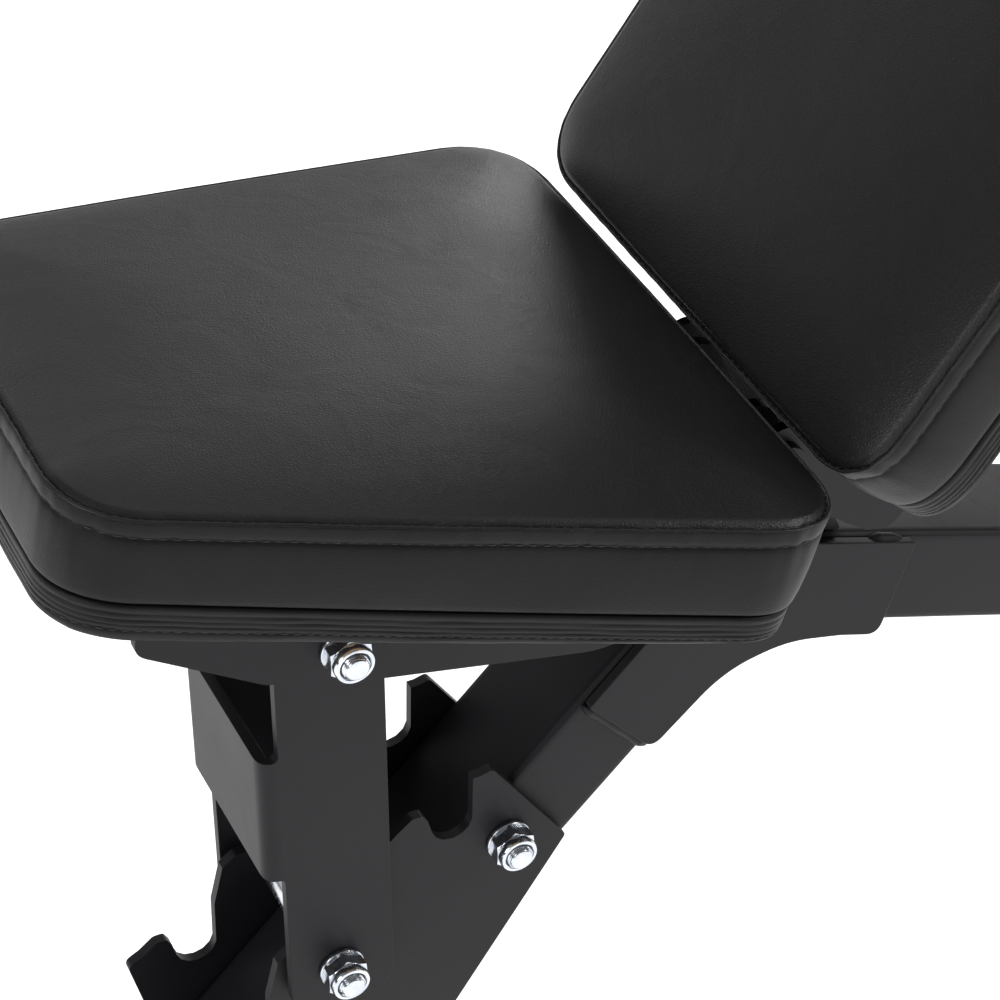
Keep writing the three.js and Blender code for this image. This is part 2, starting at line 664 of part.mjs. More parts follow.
// The rear ladder's crest follows the foot pin's own path, just below it.
const backFlat = -backLean;
const backUpright = 26.65;
const crestDrop = footRoller + 1;
const notchAngles = [0, 15, 30, 42, backLean, 66, 78];
const below = (swing, drop) => {
  const here = footAt(swing);
  const next = footAt(swing + 0.1);
  const dx = next[0] - here[0];
  const dz = next[1] - here[1];
  const length = Math.hypot(dx, dz);
  return [here[0] + drop * dz / length, here[1] - drop * dx / length];
};
const crest = [];
const ladderPoint = (swing, drop, radius) => crest.push([...below(swing, -drop), radius]);
for (const angle of notchAngles) {
  const swing = angle - backLean;
  if (angle > 0) ladderPoint(swing - 1.6, crestDrop, 2);
  ladderPoint(swing - 1.3, crestDrop + 8, 3);
  ladderPoint(swing, crestDrop + 12, 5);
  ladderPoint(swing + 1.8, crestDrop + 6, 3);
  ladderPoint(swing + 2.9, crestDrop, 3);
}
const firstCrest = below(backFlat - 1, -crestDrop);
const lastCrest = below(backUpright + 1, -crestDrop);
const beamSide = (x, rise) => {
  const distance = (x - junction[0]) / beamDir[0];
  return offset(junction, beamDir, distance, beamUp, rise);
};
platePair('back_ladder', [
  [...beamSide(firstCrest[0] + 20, -16), 6],
  [...beamSide(firstCrest[0] + 22, 20), 8],
  [firstCrest[0] + 10, firstCrest[1] - 6, 3],
  ...crest,
  [...lastCrest, 6],
  [...beamSide(lastCrest[0] - 22, 22), 8],
  [...beamSide(lastCrest[0] - 22, -16), 6],
], framePlateY, plateThick);

// ---- screws through the brackets, up against the boards ----
const screwRows = [
  ['seat', seatScrews, webTop, seatGroup],
  ['back', backScrews, backWebTop, backGroup],
];
for (const [name, places, plateTop, group] of screwRows) {
  places.forEach(([x, y], i) => {
    for (const [label, side] of sides) {
      const head = plateTop - plateThick - fitGap;
      screw(`${name}_screw_${label}_${i + 1}`, x, side * y, head, plateThick, group);
    }
  });
}

// ---- stand the bench on the floor, centred lengthwise ----
const box = new THREE.Box3().setFromObject(bench);
bench.position.set(-(box.min.x + box.max.x) / 2, 0, -box.min.z);
bench.updateMatrixWorld(true);

export default bench;
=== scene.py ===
"""Adjustable weight bench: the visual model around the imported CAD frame."""
import json
import math

import bmesh
import bpy
import numpy as np
from mathutils import Matrix, Vector

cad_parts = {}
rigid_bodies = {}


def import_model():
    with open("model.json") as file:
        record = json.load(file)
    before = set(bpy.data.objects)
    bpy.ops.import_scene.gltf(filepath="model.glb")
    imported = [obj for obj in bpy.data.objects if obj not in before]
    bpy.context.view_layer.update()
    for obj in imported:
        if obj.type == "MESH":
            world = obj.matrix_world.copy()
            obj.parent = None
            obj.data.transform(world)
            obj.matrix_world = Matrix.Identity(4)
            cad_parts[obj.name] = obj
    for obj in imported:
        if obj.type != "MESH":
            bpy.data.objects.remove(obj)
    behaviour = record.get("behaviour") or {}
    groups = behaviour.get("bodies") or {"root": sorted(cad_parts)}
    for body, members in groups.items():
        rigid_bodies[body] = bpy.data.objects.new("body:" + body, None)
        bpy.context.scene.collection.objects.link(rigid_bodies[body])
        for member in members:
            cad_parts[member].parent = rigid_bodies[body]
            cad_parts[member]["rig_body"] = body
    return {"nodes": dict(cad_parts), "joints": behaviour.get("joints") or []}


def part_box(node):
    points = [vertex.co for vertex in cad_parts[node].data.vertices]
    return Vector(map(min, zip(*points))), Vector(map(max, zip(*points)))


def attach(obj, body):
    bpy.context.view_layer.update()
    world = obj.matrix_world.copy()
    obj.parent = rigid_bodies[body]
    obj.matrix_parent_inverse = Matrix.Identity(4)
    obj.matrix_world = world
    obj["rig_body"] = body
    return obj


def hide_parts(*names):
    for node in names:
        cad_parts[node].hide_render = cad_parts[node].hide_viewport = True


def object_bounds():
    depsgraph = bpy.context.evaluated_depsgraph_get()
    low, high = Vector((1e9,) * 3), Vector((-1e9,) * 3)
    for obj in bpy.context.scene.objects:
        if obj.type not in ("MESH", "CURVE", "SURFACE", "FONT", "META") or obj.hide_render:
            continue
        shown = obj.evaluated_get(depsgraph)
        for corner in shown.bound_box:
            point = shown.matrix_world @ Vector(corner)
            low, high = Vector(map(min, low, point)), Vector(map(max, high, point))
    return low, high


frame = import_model()
CAD_BOX = [list(c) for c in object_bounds()]
MM = 0.001
scene = bpy.context.scene
joints = {j["name"]: j for j in frame["joints"]}
LEG_PIVOT = Vector(joints["seat_leg_swing"]["pos_m"])
HINGE = Vector(joints["seat_tilt"]["pos_m"])

# ---------------------------------------------------------------- camera
cam_data = bpy.data.cameras.new("camera")
cam_data.sensor_width = 36
cam_data.lens = 114.2
cam_data.clip_start, cam_data.clip_end = 0.05, 60
cam = bpy.data.objects.new("camera", cam_data)
scene.collection.objects.link(cam)
cam.location = LEG_PIVOT + Vector((-0.3626, -0.9466, 0.8495))
cam.rotation_euler = (math.radians(51.3), 0, math.radians(-25.8))
scene.camera = cam


# ---------------------------------------------------------------- material tools
class Nodes:
    """Short names for the node work of one material."""

    def __init__(self, name):
        self.mat = bpy.data.materials.new(name)
        self.mat.use_nodes = True
        self.tree = self.mat.node_tree
        self.bsdf = self.tree.nodes["Principled BSDF"]
        self.coords = self.new("ShaderNodeTexCoord").outputs["Object"]

    def new(self, kind, **props):
        node = self.tree.nodes.new(kind)
        for key, value in props.items():
            setattr(node, key, value)
        return node

    def link(self, a, b):
        self.tree.links.new(a, b)

    def put(self, node, name, value):
        if isinstance(value, bpy.types.NodeSocket):
            self.link(value, node.inputs[name])
        else:
            node.inputs[name].default_value = value

    def noise(self, scale, detail=3.0, rough=0.5, distort=0.0, vector=None, out="Fac"):
        n = self.new("ShaderNodeTexNoise")
        self.put(n, "Vector", vector or self.coords)
        self.put(n, "Scale", scale)
        self.put(n, "Detail", detail)
        self.put(n, "Roughness", rough)
        self.put(n, "Distortion", distort)
        return n.outputs[out]

    def cells(self, scale, feature="DISTANCE_TO_EDGE", vector=None, random=1.0):
        n = self.new("ShaderNodeTexVoronoi", feature=feature)
        self.put(n, "Vector", vector or self.coords)
        self.put(n, "Scale", scale)
        self.put(n, "Randomness", random)
        return n.outputs["Distance"]

    def math(self, op, a, b=0.0, c=0.0, clamp=False):
        n = self.new("ShaderNodeMath", operation=op, use_clamp=clamp)
        self.put(n, 0, a)
        self.put(n, 1, b)
        if len(n.inputs) > 2:
            self.put(n, 2, c)
        return n.outputs[0]

    def span(self, value, lo, hi, to_lo=0.0, to_hi=1.0, smooth=False):
        n = self.new("ShaderNodeMapRange")
        if smooth:
            n.interpolation_type = "SMOOTHSTEP"
        for key, v in zip(("Value", "From Min", "From Max", "To Min", "To Max"),
                          (value, lo, hi, to_lo, to_hi)):
            self.put(n, key, v)
        return n.outputs["Result"]

    def mix(self, fac, a, b):
        n = self.new("ShaderNodeMix", data_type="RGBA")
        self.put(n, 0, fac)
        for index, value in ((6, a), (7, b)):
            if isinstance(value, bpy.types.NodeSocket):
                self.link(value, n.inputs[index])
            else:
                n.inputs[index].default_value = (*value, 1.0)
        return n.outputs[2]

    def shifted(self, amount, scale):
        """Coordinates pushed about by a noise, so that cells and waves aren't regular."""
        colour = self.noise(scale, 2.0, out="Color")
        centred = self.new("ShaderNodeVectorMath", operation="SUBTRACT")
        self.link(colour, centred.inputs[0])
        centred.inputs[1].default_value = (0.5, 0.5, 0.5)
        scaled = self.new("ShaderNodeVectorMath", operation="SCALE")
        self.link(centred.outputs[0], scaled.inputs[0])
        scaled.inputs["Scale"].default_value = amount
        total = self.new("ShaderNodeVectorMath", operation="ADD")
        self.link(self.coords, total.inputs[0])
        self.link(scaled.outputs[0], total.inputs[1])
        return total.outputs[0]

    def stretched(self, factors, vector=None):
        n = self.new("ShaderNodeVectorMath", operation="MULTIPLY")
        self.link(vector or self.coords, n.inputs[0])
        n.inputs[1].default_value = factors
        return n.outputs[0]

    def bump(self, height, distance, strength=1.0, after=None):
        n = self.new("ShaderNodeBump")
        self.put(n, "Height", height)
        self.put(n, "Distance", distance)
        self.put(n, "Strength", strength)
        if after is not None:
            self.link(after, n.inputs["Normal"])
        return n.outputs["Normal"]

    def surface(self, colour=None, rough=None, normal=None, **values):
        b = self.bsdf
        if colour is not None:
            if isinstance(colour, bpy.types.NodeSocket):
                self.link(colour, b.inputs["Base Color"])
            else:
                b.inputs["Base Color"].default_value = (*colour, 1.0)
        if rough is not None:
            self.put(b, "Roughness", rough)
        if normal is not None:
            self.link(normal, b.inputs["Normal"])
        for key, value in values.items():
            self.put(b, key.replace("_", " "), value)
        return self.mat


def leather_grain(n, depth=1.0):
    """Pebbled vinyl: small uneven cells, finer grit in them and a few long faint creases."""
    wobble = n.shifted(0.0009, 420)
    pebbles = n.span(n.cells(760, vector=wobble), 0.0, 0.42, smooth=True)
    grit = n.noise(3200, 2.0)
    creases = n.cells(48, vector=n.shifted(0.02, 40))
    crease_line = n.span(creases, 0.0, 0.022, smooth=True)
    patchy = n.span(n.noise(31, 2.0), 0.36, 0.47, smooth=True)
    crease = n.math("ADD", crease_line, patchy, clamp=True)
    waves = n.noise(26, 3.0, distort=0.6)
    normal = n.bump(waves, 0.0016 * depth, 0.35)
    normal = n.bump(crease, 0.00007 * depth, 0.4, after=normal)
    normal = n.bump(pebbles, 0.00011 * depth, 0.55, after=normal)
    return n.bump(grit, 0.00004 * depth, 0.5, after=normal), pebbles


def vinyl(name, light=1.0, rough=0.40, grain=1.0, gloss=0.46):
    n = Nodes(name)
    normal, pebbles = leather_grain(n, grain)
    broad = n.noise(7, 3.0)
    # light scales the base colour: below 1 it makes a darker copy of the same vinyl, painted shade
    tone = n.mix(n.span(broad, 0.35, 0.65), (0.0082 * light, 0.0078 * light, 0.0088 * light),
                 (0.0118 * light, 0.0112 * light, 0.0125 * light))
    # Darker base colour in the valleys between the pebbles: painted shade in the grain.
    tone = n.mix(n.span(pebbles, 0.0, 1.0, 0.45, 0.0), tone, (0.006, 0.0057, 0.0063))
    scuffs = n.span(n.noise(38, 4.0, 0.62), 0.55, 0.75, 0.0, 0.07, smooth=True)
    roughness = n.math("ADD", n.span(broad, 0.3, 0.7, rough - 0.03, rough + 0.05), scuffs)
    return n.surface(tone, roughness, normal, Specular_IOR_Level=gloss)


def powder_coat(name, base=(0.0105, 0.0097, 0.0120), rough=0.46):
    """Satin powder coat: orange-peel skin, fine specks and slightly polished patches."""
    n = Nodes(name)
    peel = n.noise(900, 2.0)
    speck = n.noise(4200, 1.0)
    broad = n.noise(9, 4.0)
    tone = n.mix(n.span(broad, 0.35, 0.68), base, tuple(c * 1.16 for c in base))
    tone = n.mix(n.span(speck, 0.60, 0.75, 0.0, 0.35), tone, tuple(c * 1.8 for c in base))
    scratch = n.noise(60, 3.0, vector=n.stretched((1.0, 1.0, 14.0)))
    roughness = n.span(broad, 0.3, 0.7, rough - 0.04, rough + 0.05)
    roughness = n.math("ADD", roughness, n.span(scratch, 0.62, 0.74, 0.0, 0.06))
    normal = n.bump(n.noise(34, 2.0), 0.0006, 0.25)
    normal = n.bump(peel, 0.00009, 0.45, after=normal)
    return n.surface(tone, roughness, normal, Specular_IOR_Level=0.23)


def zinc_plate(name, rough=0.17, tint=0.35):
    """Bright zinc with a thin passivation colour and fine turning marks."""
    n = Nodes(name)
    cloud = n.noise(160, 3.0)
    tone = n.mix(n.span(cloud, 0.36, 0.62), (0.80, 0.82, 0.85), (0.66, 0.70, 0.76))
    warm = n.span(n.noise(230, 2.0), 0.56, 0.72, 0.0, tint)
    tone = n.mix(warm, tone, (0.78, 0.70, 0.55))
    roughness = n.span(n.noise(420, 3.0), 0.3, 0.7, rough - 0.05, rough + 0.12)
    normal = n.bump(n.noise(2600, 2.0), 0.00003, 0.5)
    return n.surface(tone, roughness, normal, Metallic=1.0)


def rubber_skin(name):
    n = Nodes(name)
    cloud = n.noise(40, 3.0)
    tone = n.mix(n.span(cloud, 0.4, 0.7), (0.012, 0.012, 0.012), (0.021, 0.020, 0.020))
    roughness = n.span(n.noise(90, 3.0), 0.3, 0.7, 0.62, 0.82)
    return n.surface(tone, roughness, n.bump(n.noise(1600, 2.0), 0.0001, 0.5))


def plywood_face(name):
    """Birch veneer: long grain bands along X with darker pores."""
    n = Nodes(name)
    along = n.stretched((1.0, 9.0, 9.0), n.shifted(0.02, 3))
    bands = n.noise(9, 4.0, 0.6, 0.4, vector=along)
    pores = n.noise(140, 2.0, vector=n.stretched((1.0, 14.0, 14.0)))
    tone = n.mix(n.span(bands, 0.32, 0.68), (0.46, 0.31, 0.17), (0.33, 0.20, 0.10))
    tone = n.mix(n.span(pores, 0.6, 0.72, 0.0, 0.5), tone, (0.16, 0.09, 0.045))
    return n.surface(tone, 0.66, n.bump(bands, 0.0002, 0.4))


def thread_fibre(name):
    """Black polyester thread: a twisted two-ply strand."""
    n = Nodes(name)
    twist = n.noise(1500, 2.0, distort=1.5)
    tone = n.mix(n.span(twist, 0.35, 0.65), (0.006, 0.006, 0.006), (0.022, 0.022, 0.023))
    return n.surface(tone, 0.62, n.bump(twist, 0.0001, 0.6), Sheen_Weight=0.2)


def nylon_ring(name):
    n = Nodes(name)
    cloud = n.noise(600, 3.0)
    tone = n.mix(n.span(cloud, 0.35, 0.65), (0.008, 0.022, 0.060), (0.015, 0.040, 0.095))
    return n.surface(tone, 0.42, n.bump(cloud, 0.00005, 0.4))


def pale_floor(name):
    n = Nodes(name)
    cloud = n.noise(1.6, 3.0)
    tone = n.mix(n.span(cloud, 0.35, 0.65), (0.86, 0.86, 0.865), (0.90, 0.90, 0.90))
    return n.surface(tone, 0.85, n.bump(n.noise(300, 2.0), 0.0002, 0.2),
                     Emission_Color=(1.0, 1.0, 1.0, 1.0), Emission_Strength=0.85)


VINYL_TOP = vinyl("vinyl_top")
# Side copy of the same vinyl with its base colour at 0.55: painted shade on the pads' sides.
VINYL_SIDE_PAINTED_SHADE = vinyl("vinyl_side", 0.55, 0.43, 0.8, 0.21)
# Trim copy of the same vinyl with its base colour at 0.65: painted shade under the pads' edge.
VINYL_TRIM_PAINTED_SHADE = vinyl("vinyl_trim", 0.65, 0.47, 0.7, 0.26)
COAT = powder_coat("powder_coat")
ZINC = zinc_plate("zinc")
RUBBER = rubber_skin("rubber")
PLYWOOD = plywood_face("plywood")
THREAD = thread_fibre("thread")
NYLON = nylon_ring("nylon")
FLOOR = pale_floor("pale_floor")


# ---------------------------------------------------------------- mesh tools
def piece(name, points, faces, material, smooth=True):
    mesh = bpy.data.meshes.new(name)
    mesh.from_pydata([tuple(p) for p in points], [], [tuple(f) for f in faces])
    mesh.validate()
    bm = bmesh.new()
    bm.from_mesh(mesh)
    bmesh.ops.recalc_face_normals(bm, faces=bm.faces)
    bm.to_mesh(mesh)
    bm.free()
    mesh.polygons.foreach_set("use_smooth", [smooth] * len(mesh.polygons))
    obj = bpy.data.objects.new(name, mesh)
    scene.collection.objects.link(obj)
    mesh.materials.append(material)
    return obj


def sharpen(obj, degrees=35):
    obj.data.set_sharp_from_angle(angle=math.radians(degrees))
    return obj


def settle(obj):
    """Applies the object's modifiers to its mesh."""
    graph = bpy.context.evaluated_depsgraph_get()
    mesh = bpy.data.meshes.new_from_object(obj.evaluated_get(graph), depsgraph=graph)
    obj.modifiers.clear()
    old, obj.data = obj.data, mesh
    bpy.data.meshes.remove(old)
    return obj


def rides(obj, body, stands_for=()):
    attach(obj, body)
    if stands_for:
        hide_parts(*stands_for)
    return obj


def softened(node, material, bevel=0.6, angle=30, segments=2):
    """A CAD piece with its cut edges broken, as deburred and coated steel has them."""
    source = frame["nodes"][node]
    bm = bmesh.new()
    bm.from_mesh(source.data)
    bmesh.ops.remove_doubles(bm, verts=bm.verts, dist=0.00002)
    bmesh.ops.dissolve_limit(bm, angle_limit=math.radians(0.6), verts=bm.verts, edges=bm.edges)
    bmesh.ops.recalc_face_normals(bm, faces=bm.faces)
    mesh = bpy.data.meshes.new(node + "_skin")
    bm.to_mesh(mesh)
    bm.free()
    obj = bpy.data.objects.new(node + "_skin", mesh)
    scene.collection.objects.link(obj)
    mod = obj.modifiers.new("edges", "BEVEL")
    mod.width = bevel * MM
    mod.segments = segments
    mod.limit_method = "ANGLE"
    mod.angle_limit = math.radians(angle)
    mod.use_clamp_overlap = True
    mod.harden_normals = False
    settle(obj)
    obj.data.materials.clear()
    obj.data.materials.append(material)
    obj.data.polygons.foreach_set("use_smooth", [True] * len(obj.data.polygons))
    sharpen(obj, 40)
    mod = obj.modifiers.new("weighted", "WEIGHTED_NORMAL")
    mod.keep_sharp = True
    body = source["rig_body"]
    return rides(obj, body, [node])


# ---------------------------------------------------------------- pads
class Pad:
    """One upholstered pad. Local u runs rearwards along it, v to the far side, w out of its
    face; `top` is the height of the sewn edge and depths are measured down from it."""

    def __init__(self, name, body, origin, tilt, top, outline, steps, lean=0.0, flare=0.0,
                 taper=(0.0, 0.0)):
        self.name, self.body, self.top = name, body, top
        self.lean, self.flare, self.taper = lean, flare, taper
        self.matrix = Matrix.Translation(origin) @ Matrix.Rotation(math.radians(tilt), 4, "Y")
        self.nu, self.nv = steps
        self.sides = self.side_curves(outline)
        loop = np.concatenate([side[:-1] for side in self.sides])
        ahead, behind = np.roll(loop, -1, 0), np.roll(loop, 1, 0)
        tangent = ahead - behind
        tangent /= np.linalg.norm(tangent, axis=1)[:, None]
        self.loop = loop
        self.normal = np.stack([tangent[:, 1], -tangent[:, 0]], 1)
        self.run = np.concatenate([[0], np.cumsum(np.linalg.norm(ahead - loop, axis=1))])
        turning = np.abs(np.cross(np.roll(tangent, -2, 0), np.roll(tangent, 2, 0)))
        self.corner = np.clip(turning / max(turning.max(), 1e-9), 0, 1)

    def side_curves(self, outline):
        """Near, rear, far and front sides, each from one corner's middle to the next."""
        front, rear, front_half, rear_half, front_radius, rear_radius, bow = outline
        corners = [np.array(c, float) for c in (
            (front, -front_half), (rear, -rear_half), (rear, rear_half), (front, front_half))]
        radii = [front_radius, rear_radius, rear_radius, front_radius]
        dense = []
        for i, corner in enumerate(corners):
            to_prev = corners[i - 1] - corner
            to_next = corners[(i + 1) % 4] - corner
            to_prev /= np.linalg.norm(to_prev)
            to_next /= np.linalg.norm(to_next)
            half = math.acos(np.clip(to_prev @ to_next, -1, 1)) / 2
            reach = radii[i] / math.tan(half) * 1.25
            a, b = corner + to_prev * reach, corner + to_next * reach
            t = np.linspace(0, 1, 121)[:, None]
            k = 0.62
            c1, c2 = a + (corner - a) * k, b + (corner - b) * k
            arc = ((1 - t) ** 3 * a + 3 * (1 - t) ** 2 * t * c1
                   + 3 * (1 - t) * t ** 2 * c2 + t ** 3 * b)
            dense.append(arc)
        sides = []
        for i, count in enumerate((self.nu, self.nv, self.nu, self.nv)):
            first, second = dense[i][60:], dense[(i + 1) % 4][:61]
            t = np.linspace(0, 1, 80)[1:-1, None]
            straight = first[-1] + (second[0] - first[-1]) * t
            chord = second[0] - first[-1]
            out = np.array([chord[1], -chord[0]]) / np.linalg.norm(chord)
            straight = straight + out * bow[i] * (4 * t * (1 - t)) ** 1.2
            path = np.concatenate([first, straight, second])
            length = np.concatenate([[0], np.cumsum(np.linalg.norm(np.diff(path, axis=0), axis=1))])
            at = np.linspace(0, length[-1], count + 1)
            sides.append(np.stack([np.interp(at, length, path[:, k]) for k in (0, 1)], 1))
        return sides

    def patch(self, inset):
        """Grid over the pad's plan, drawn between its four sides moved in by some amount."""
        loop = self.loop - self.normal * inset
        nu, nv = self.nu, self.nv
        near, rear = loop[:nu + 1], loop[nu:nu + nv + 1]
        far = loop[nu + nv:2 * nu + nv + 1][::-1]
        front = np.concatenate([loop[2 * nu + nv:], loop[:1]])[::-1]
        s = np.linspace(0, 1, nu + 1)[:, None, None]
        t = np.linspace(0, 1, nv + 1)[None, :, None]
        ruled = (1 - t) * near[:, None] + t * far[:, None]
        across = (1 - s) * front[None] + s * rear[None]
        corners = ((1 - s) * (1 - t) * near[0] + s * (1 - t) * near[-1]
                   + (1 - s) * t * far[0] + s * t * far[-1])
        return ruled + across - corners

    def edge_index(self):
        """Grid index of each loop point, so that rings can be sewn to the patch."""
        nu, nv = self.nu, self.nv
        cols = nv + 1
        near = [i * cols for i in range(nu)]
        rear = [nu * cols + j for j in range(nv)]
        far = [(nu - i) * cols + nv for i in range(nu)]
        front = [nv - j for j in range(nv)]
        return near + rear + far + front

    def distance(self, points):
        out = np.empty(len(points))
        for k in range(0, len(points), 4000):
            part = points[k:k + 4000]
            gap = part[:, None, :] - self.loop[None, :, :]
            out[k:k + 4000] = np.sqrt((gap ** 2).sum(2).min(1))
        return out

    def place(self, offset, depth):
        """Loop points moved out by offset and down by depth. The rear wall leans in, the
        front wall flares out, and the two long sides grow deeper to the rear."""
        offset = np.broadcast_to(offset, len(self.loop))
        depth = np.broadcast_to(depth, len(self.loop))
        rearward = np.clip(self.normal[:, 0], 0, 1) ** 2
        forward = np.clip(-self.normal[:, 0], 0, 1) ** 2
        sunk = np.clip(depth - 4, 0, 53) / 34
        slant = (self.flare * forward - self.lean * rearward) * sunk
        flat = self.loop + self.normal * (offset + slant)[:, None]
        along = (self.loop[:, 0] - self.loop[:, 0].min()) / np.ptp(self.loop[:, 0])
        low, high = self.taper
        extra = (low + (high - low) * along) * self.normal[:, 1] ** 2
        mid_side = np.clip((depth - 9) / 20, 0, 1) * np.clip((57 - depth) / 6, 0, 1)
        return np.column_stack([flat, self.top - depth - extra * mid_side])

    def world(self, points):
        m = np.array(self.matrix)
        return points * MM @ m[:3, :3].T + m[:3, 3]


def grid_faces(rows, cols, start=0):
    faces = []
    for i in range(rows):
        for j in range(cols):
            a = start + i * (cols + 1) + j
            faces.append((a, a + cols + 1, a + cols + 2, a + 1))
    return faces


def ring_faces(a, b):
    n = len(a)
    return [(a[i], a[(i + 1) % n], b[(i + 1) % n], b[i]) for i in range(n)]


def inflate(points, rows, cols, pressure, cap):
    """Cloth simulation of a sewn-down panel: its edge is held and air pressure fills it.
    Returns how far each point moved, capped."""
    count = len(points)
    obj = piece("cloth_panel", points, grid_faces(rows, cols), VINYL_TOP)
    edge = [k for k in range(count)
            if k // (cols + 1) in (0, rows) or k % (cols + 1) in (0, cols)]
    group = obj.vertex_groups.new(name="sewn_edge")
    group.add(edge, 1.0, "REPLACE")
    cloth = obj.modifiers.new("cloth", "CLOTH")
    s = cloth.settings
    s.quality = 6
    s.mass = 0.4
    s.tension_stiffness = s.compression_stiffness = 30
    s.shear_stiffness = 15
    s.bending_stiffness = 6
    s.air_damping = 3
    s.vertex_group_mass = "sewn_edge"
    s.use_pressure = True
    s.uniform_pressure_force = pressure
    s.effector_weights.gravity = 0
    cloth.point_cache.frame_start, cloth.point_cache.frame_end = 1, 20
    for f in range(1, 21):
        scene.frame_set(f)
    graph = bpy.context.evaluated_depsgraph_get()
    data = obj.evaluated_get(graph).data
    moved = np.empty(count * 3)
    data.vertices.foreach_get("co", moved)
    moved = moved.reshape(-1, 3) - points
    scene.frame_set(1)
    bpy.data.objects.remove(obj)
    length = np.linalg.norm(moved, axis=1)
    limit = cap * np.tanh(length / cap) / np.maximum(length, 1e-12)
    return moved * limit[:, None]


def finer(coarse, rows, cols, factor):
    """Values on a coarse grid spread to a grid `factor` times as fine."""
    values = coarse.reshape(rows + 1, cols + 1, 3)
    fine_i = np.linspace(0, rows, rows * factor + 1)
    fine_j = np.linspace(0, cols, cols * factor + 1)
    step = np.stack([[np.interp(fine_i, np.arange(rows + 1), values[:, j, k])
                      for j in range(cols + 1)] for k in range(3)], 2)
    out = np.stack([[np.interp(fine_j, np.arange(cols + 1), step[:, i, k])
                     for i in range(rows * factor + 1)] for k in range(3)], 2)
    for _ in range(3):
        core = out[1:-1, 1:-1]
        around = out[2:, 1:-1] + out[:-2, 1:-1] + out[1:-1, 2:] + out[1:-1, :-2]
        core += 0.35 * (around / 4 - core)
    return out.reshape(-1, 3)


def ripple(run, seed, waves):
    """Gentle deterministic unevenness along an edge."""
    total = np.zeros_like(run)
    for k, (pitch, size) in enumerate(waves):
        total += size * np.sin(2 * math.pi * run / pitch + seed * 1.7 + k * 2.1)
    return total


EDGE_INSET = 3.2
CROWN_FOAM = 7.2                # rise of the foam inside the sewn edge
CROWN_REACH = 17.0              # how far in from the edge the rise takes
AIR_PRESSURE = 4.0
CLOTH_LIMIT = 0.005             # most a cloth panel may move, metres
BOARD_FOLD_OFFSET, BOARD_FOLD_DEPTH = -24, 57.35
STAPLE_PITCH = 38

# Down the pad's side: (offset outwards, depth) from the sewn edge.
SEAM_IN = [(-2.3, -0.5), (-1.6, 0.05), (-1.15, 0.75), (-0.8, 1.25)]
LIP = [(-0.45, 0.75), (-0.1, 0.15), (0.35, 0.05), (0.8, 0.35), (1.12, 1.0), (1.25, 1.9)]
STRIP = [(1.3, 3.2), (1.28, 4.8), (1.1, 6.4), (0.75, 7.4)]
TOPSTITCH = [(0.35, 7.95), (0.12, 8.3), (0.3, 8.75), (0.62, 9.4)]
BOXING = [(0.95, 11), (1.15, 14), (1.2, 18), (1.1, 23), (0.85, 28), (0.5, 32.5), (0.1, 36),
          (-0.2, 38), (-0.75, 39.2), (-2.0, 39.8), (-4.4, 40.0), (-7.2, 40.0)]
TRIM = [(-7.4, 41.0), (-4.4, 40.7), (-2.3, 40.9), (-1.45, 41.5), (-1.2, 42.6), (-1.25, 44.2),
        (-1.6, 44.55), (-1.35, 44.95), (-1.3, 46.0), (-1.35, 47.0), (-1.7, 47.3),
        (-1.45, 47.65), (-1.4, 48.6), (-1.5, 49.5), (-1.85, 49.8), (-1.6, 50.1), (-1.6, 51.0),
        (-1.75, 51.8), (-2.2, 52.1), (-1.9, 52.4), (-1.85, 53.6), (-2.1, 54.9), (-3.0, 56.1),
        (-4.8, 56.95), (-7.0, 57.25), (-12, 57.3), (-20, 57.3), (-29, 57.25), (-29.4, 57.0),
        (-29, 56.75), (-12, 56.72), (-8.8, 56.6), (-8.6, 50.0), (-8.5, 43.4), (-8.3, 42.0)]


